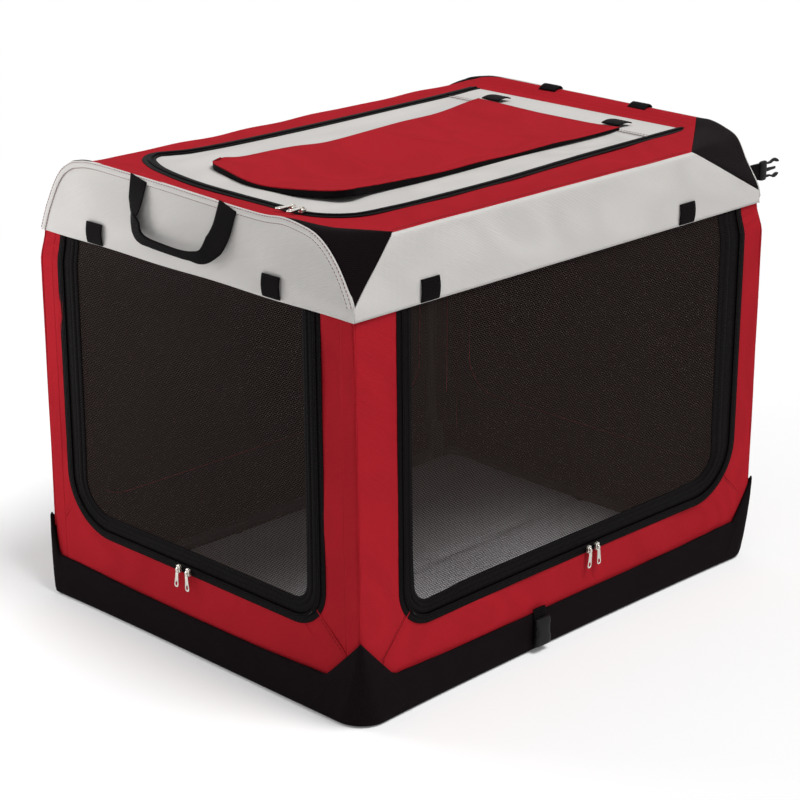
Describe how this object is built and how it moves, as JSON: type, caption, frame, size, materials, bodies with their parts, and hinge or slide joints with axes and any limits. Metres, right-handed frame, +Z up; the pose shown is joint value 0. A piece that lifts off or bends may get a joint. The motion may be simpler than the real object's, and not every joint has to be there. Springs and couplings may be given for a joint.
{
  "type": "soft folding dog crate",
  "caption": "Soft fabric travel crate for a dog on a folding tube frame, with mesh doors at one end and one side, a zipped roof hatch and carry handles.",
  "frame": {"origin": "on the floor under the middle of the base tray", "axes": "+Z up, +Y along the crate's length away from the end with the door, +X towards the long side with the door"},
  "size_m": [0.6302, 0.9335, 0.6538],
  "materials": {
    "red_fabric": "woven polyester, red",
    "grey_fabric": "woven polyester, pale grey",
    "black_fabric": "coated woven polyester, black",
    "mat_fabric": "brushed polyester over foam, grey",
    "net": "knitted mesh, black",
    "binding": "woven binding tape, black",
    "zip_tape": "coil zip on woven tape, black",
    "webbing": "woven webbing, black",
    "tube": "powder-coated steel tube",
    "steel": "zinc-plated steel",
    "zip_metal": "nickel-plated die casting",
    "plastic": "moulded acetal, black",
    "board": "hardboard"
  },
  "bodies": {
    "base": {"base_tray": "black_fabric", "base_frame": "tube", "floor_board": "board", "floor_mat": "mat_fabric", "left_wall": "red_fabric", "right_wall": "red_fabric", "rear_wall": "red_fabric", "left_window_mesh": "net", "rear_window_mesh": "net", "right_zip_tape": "zip_tape", "front_left_hinge_bracket": "steel", "front_right_hinge_bracket": "steel", "rear_left_hinge_bracket": "steel", "rear_right_hinge_bracket": "steel", "socket_strap": "webbing"},
    "rear_hoop": {"rear_hoop": "tube"},
    "front_hoop": {"front_hoop": "tube", "front_wall": "red_fabric", "front_zip_tape": "zip_tape"},
    "roof_runner": {"left_roof_runner": "plastic", "right_roof_runner": "plastic"},
    "roof": {"roof_frame": "tube", "roof_panel": "red_fabric", "left_roof_rail": "steel", "right_roof_rail": "steel", "left_rest_pad": "plastic", "right_rest_pad": "plastic", "hatch_zip_tape": "zip_tape", "front_band": "grey_fabric", "rear_band": "grey_fabric", "left_band": "grey_fabric", "right_band": "grey_fabric", "front_left_roof_patch": "black_fabric", "front_right_roof_patch": "black_fabric", "rear_left_roof_patch": "black_fabric", "rear_right_roof_patch": "black_fabric", "plug_strap": "webbing"},
    "front_door": {"front_door_binding": "binding", "front_door_mesh": "net"},
    "right_door": {"right_door_binding": "binding", "right_door_mesh": "net"},
    "hatch": {"hatch_panel": "grey_fabric", "hatch_mesh": "net"},
    "hatch_flap": {"hatch_flap": "red_fabric"},
    "front_handle": {"front_handle": "webbing"},
    "rear_handle": {"rear_handle": "webbing"},
    "buckle_socket": {"buckle_socket": "plastic"},
    "buckle_plug": {"buckle_plug": "plastic"},
    "front_left_slider": {"front_left_slider": "zip_metal"},
    "front_left_slider_pull": {"front_left_slider_pull": "zip_metal"},
    "front_right_slider": {"front_right_slider": "zip_metal"},
    "front_right_slider_pull": {"front_right_slider_pull": "zip_metal"},
    "side_left_slider": {"side_left_slider": "zip_metal"},
    "side_left_slider_pull": {"side_left_slider_pull": "zip_metal"},
    "side_right_slider": {"side_right_slider": "zip_metal"},
    "side_right_slider_pull": {"side_right_slider_pull": "zip_metal"},
    "hatch_left_slider": {"hatch_left_slider": "zip_metal"},
    "hatch_left_slider_pull": {"hatch_left_slider_pull": "zip_metal"},
    "hatch_right_slider": {"hatch_right_slider": "zip_metal"},
    "hatch_right_slider_pull": {"hatch_right_slider_pull": "zip_metal"}
  },
  "joints": [
    {"name": "fold", "type": "hinge", "parent": "base", "child": "rear_hoop", "pos_m": [0, 0.3515, 0.065], "axis": [1, 0, 0], "range_deg": [0, 90], "deforming": ["left_wall", "right_wall", "rear_wall", "left_window_mesh", "rear_window_mesh", "right_zip_tape", "right_door_binding", "right_door_mesh", "front_band", "rear_band", "left_band", "right_band", "front_left_roof_patch", "front_right_roof_patch", "rear_left_roof_patch", "rear_right_roof_patch", "plug_strap"]},
    {"name": "front_hoop_fold", "type": "hinge", "parent": "base", "child": "front_hoop", "pos_m": [0, -0.39, 0.035], "axis": [1, 0, 0], "range_deg": [-90, 0]},
    {"name": "roof_level", "type": "hinge", "parent": "rear_hoop", "child": "roof_runner", "pos_m": [0, 0.3515, 0.6125], "axis": [1, 0, 0], "range_deg": [-90, 0]},
    {"name": "roof_run", "type": "slide", "parent": "roof_runner", "child": "roof", "axis": [0, 1, 0], "range_m": [0, 0.5475]},
    {"name": "front_door_swing", "type": "hinge", "parent": "front_hoop", "child": "front_door", "pos_m": [0, -0.4015, 0.545], "axis": [1, 0, 0], "range_deg": [-95, 0]},
    {"name": "right_door_swing", "type": "hinge", "parent": "base", "child": "right_door", "pos_m": [0.3045, 0, 0.545], "axis": [0, 1, 0], "range_deg": [-95, 0]},
    {"name": "hatch_swing", "type": "hinge", "parent": "roof", "child": "hatch", "pos_m": [0, 0.28, 0.6455], "axis": [1, 0, 0], "range_deg": [-100, 0]},
    {"name": "hatch_flap_swing", "type": "hinge", "parent": "hatch", "child": "hatch_flap", "pos_m": [0, 0.28, 0.647], "axis": [1, 0, 0], "range_deg": [-60, 0]},
    {"name": "front_handle_lift", "type": "hinge", "parent": "roof", "child": "front_handle", "pos_m": [0, -0.4062, 0.612], "axis": [1, 0, 0], "range_deg": [-120, 0]},
    {"name": "rear_handle_lift", "type": "hinge", "parent": "roof", "child": "rear_handle", "pos_m": [0, 0.4062, 0.612], "axis": [-1, 0, 0], "range_deg": [-120, 0]},
    {"name": "buckle_socket_swing", "type": "hinge", "parent": "base", "child": "buckle_socket", "pos_m": [0.3117, -0.06, 0.05], "axis": [0, 1, 0], "range_deg": [-80, 0]},
    {"name": "buckle_plug_swing", "type": "hinge", "parent": "roof", "child": "buckle_plug", "pos_m": [0.267, 0.4511, 0.575], "axis": [0, 0, -1], "range_deg": [-80, 0]},
    {"name": "front_left_slider_run", "type": "slide", "parent": "front_hoop", "child": "front_left_slider", "axis": [1, 0, 0], "range_m": [-0.152, 0]},
    {"name": "front_left_pull_swing", "type": "hinge", "parent": "front_left_slider", "child": "front_left_slider_pull", "pos_m": [-0.034, -0.4092, 0.1177], "axis": [1, 0, 0], "range_deg": [-90, 0]},
    {"name": "front_right_slider_run", "type": "slide", "parent": "front_hoop", "child": "front_right_slider", "axis": [-1, 0, 0], "range_m": [-0.2, 0]},
    {"name": "front_right_pull_swing", "type": "hinge", "parent": "front_right_slider", "child": "front_right_slider_pull", "pos_m": [-0.015, -0.4092, 0.1177], "axis": [1, 0, 0], "range_deg": [-90, 0]},
    {"name": "side_left_slider_run", "type": "slide", "parent": "base", "child": "side_left_slider", "axis": [0, 1, 0], "range_m": [-0.31, 0]},
    {"name": "side_left_pull_swing", "type": "hinge", "parent": "side_left_slider", "child": "side_left_slider_pull", "pos_m": [0.3122, 0.043, 0.1127], "axis": [0, 1, 0], "range_deg": [-90, 0]},
    {"name": "side_right_slider_run", "type": "slide", "parent": "base", "child": "side_right_slider", "axis": [0, -1, 0], "range_m": [-0.21, 0]},
    {"name": "side_right_pull_swing", "type": "hinge", "parent": "side_right_slider", "child": "side_right_slider_pull", "pos_m": [0.3122, 0.06, 0.1127], "axis": [0, 1, 0], "range_deg": [-90, 0]},
    {"name": "hatch_left_slider_run", "type": "slide", "parent": "roof", "child": "hatch_left_slider", "axis": [1, 0, 0], "range_m": [-0.32, 0]},
    {"name": "hatch_left_pull_swing", "type": "hinge", "parent": "hatch_left_slider", "child": "hatch_left_slider_pull", "pos_m": [0.15, -0.3593, 0.6527], "axis": [1, 0, 0], "range_deg": [-90, 0]},
    {"name": "hatch_right_slider_run", "type": "slide", "parent": "roof", "child": "hatch_right_slider", "axis": [-1, 0, 0], "range_m": [-0.004, 0]},
    {"name": "hatch_right_pull_swing", "type": "hinge", "parent": "hatch_right_slider", "child": "hatch_right_slider_pull", "pos_m": [0.167, -0.3593, 0.6527], "axis": [1, 0, 0], "range_deg": [-90, 0]}
  ],
  "couplings": [
    {"joint": "front_hoop_fold", "follows": "fold", "ratio": -1},
    {"joint": "roof_level", "follows": "fold", "ratio": -1},
    {"joint": "roof_run", "follows": "fold", "m_per_rad": 0.34855}
  ]
}
